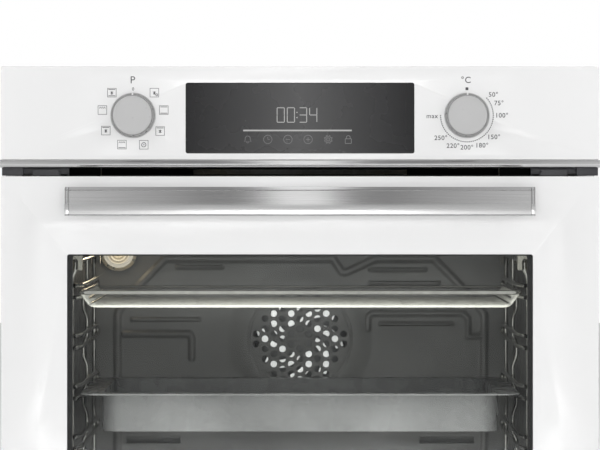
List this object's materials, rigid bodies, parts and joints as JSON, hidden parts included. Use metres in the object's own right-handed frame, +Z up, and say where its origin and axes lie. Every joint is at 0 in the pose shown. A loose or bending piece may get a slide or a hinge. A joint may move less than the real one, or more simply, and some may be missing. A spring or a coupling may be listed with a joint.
{
  "type": "wall oven",
  "caption": "Built-in wall oven with a white front, a bottom-hinged glass door with a flat steel handle, rotary knobs, a touch display, side racks, a wire shelf and a baking tray.",
  "frame": {"origin": "middle of the base, at the centre of the overall box in X and Y, on the surface that the base rests on", "axes": "+Z up, the door and controls face -Y, +X to the right as seen from the front"},
  "size_m": [0.5964, 0.607, 0.595],
  "materials": {
    "galvanised_steel": "spangled zinc sheet",
    "grey_enamel": "glossy dark grey vitreous enamel",
    "mineral_wool": "felted mineral wool",
    "element_tube": "heat-tinted tube",
    "motor_steel": "satin lacquer",
    "chrome_wire": "polished",
    "stud_ceramic": "satin",
    "lamp_ceramic": "glazed ceramic",
    "bulb_glass": "clear",
    "lamp_glass": "pressed glass in a bright ring",
    "gasket": "woven silicone cord",
    "white_panel": "glossy white",
    "stainless": "brushed",
    "black_glass": "polished black glass",
    "circuit_board": "solder mask",
    "switch_plastic": "satin",
    "dark_plastic": "fine grain",
    "knob_metal": "satin",
    "window_glass": "polished",
    "black_print": "ceramic print",
    "terminal_plastic": "satin",
    "hinge_steel": "zinc plated",
    "handle_steel": "brushed along its length",
    "tray_enamel": "speckled vitreous enamel",
    "fan_steel": "pressed sheet"
  },
  "bodies": {
    "chassis": {"base_pan": "galvanised_steel", "side_panel_left": "galvanised_steel", "side_panel_right": "galvanised_steel", "top_cover": "galvanised_steel", "rear_upper_panel": "galvanised_steel", "rear_cover": "galvanised_steel", "front_frame": "stainless", "cavity_liner": "grey_enamel", "back_panel": "grey_enamel", "insulation": "mineral_wool", "grill_element": "element_tube", "bottom_element": "element_tube", "ring_element": "element_tube", "fan_motor": "motor_steel", "motor_bracket": "galvanised_steel", "side_rack_left": "chrome_wire", "side_rack_right": "chrome_wire", "rack_studs": "stud_ceramic", "lamp_housing": "lamp_ceramic", "lamp_bulb": "bulb_glass", "lamp_cover": "lamp_glass", "door_gasket": "gasket", "control_fascia": "white_panel", "fascia_strip": "stainless", "fascia_bracket": "motor_steel", "display_window": "black_glass", "display_module": "circuit_board", "function_switch": "switch_plastic", "thermostat": "switch_plastic", "thermostat_probe": "element_tube", "air_duct": "motor_steel", "blower_housing": "galvanised_steel", "blower_motor": "motor_steel", "terminal_block": "terminal_plastic", "terminal_cover": "dark_plastic", "cable_gland": "dark_plastic", "hinge_receptacles": "hinge_steel", "hinge_arms": "hinge_steel", "outlet_trim": "dark_plastic", "casing_screws": "hinge_steel"},
    "door": {"door_front_panel": "white_panel", "door_window": "window_glass", "window_mask": "black_print", "door_middle_glass": "window_glass", "door_inner_glass": "window_glass", "door_top_profile": "dark_plastic", "door_side_profiles": "stainless", "door_bottom_profile": "dark_plastic", "hinge_cases": "hinge_steel", "hinge_springs": "hinge_steel", "hinge_pins": "hinge_steel", "handle_bar": "handle_steel", "handle_end_caps": "handle_steel", "handle_posts": "handle_steel"},
    "function_knob": {"function_knob": "knob_metal"},
    "temperature_knob": {"temperature_knob": "knob_metal"},
    "wire_shelf": {"wire_shelf": "chrome_wire"},
    "baking_tray": {"baking_tray": "tray_enamel"},
    "convection_fan": {"convection_fan": "fan_steel"},
    "cooling_fan": {"cooling_fan": "fan_steel"}
  },
  "joints": [
    {"name": "door_hinge", "type": "hinge", "parent": "chassis", "child": "door", "pos_m": [0, -0.2415, 0.034], "axis": [1, 0, 0], "range_deg": [0, 90], "stiffness_Nm_per_rad": 8, "springref_deg": -20.05},
    {"name": "function_knob_turn", "type": "hinge", "parent": "chassis", "child": "function_knob", "pos_m": [-0.1659, -0.2715, 0.5461], "axis": [0, 1, 0], "continuous": true},
    {"name": "temperature_knob_turn", "type": "hinge", "parent": "chassis", "child": "temperature_knob", "pos_m": [0.1659, -0.2715, 0.5461], "axis": [0, 1, 0], "range_deg": [0, 270]},
    {"name": "wire_shelf_slide", "type": "slide", "parent": "chassis", "child": "wire_shelf", "axis": [0, -1, 0], "range_m": [0, 0.02]},
    {"name": "baking_tray_slide", "type": "slide", "parent": "chassis", "child": "baking_tray", "axis": [0, -1, 0], "range_m": [0, 0.02]},
    {"name": "convection_fan_spin", "type": "hinge", "parent": "chassis", "child": "convection_fan", "pos_m": [0, 0.2035, 0.3055], "axis": [0, 1, 0], "continuous": true},
    {"name": "cooling_fan_spin", "type": "hinge", "parent": "chassis", "child": "cooling_fan", "pos_m": [0, 0.1385, 0.52], "axis": [0, 0, 1], "continuous": true}
  ]
}
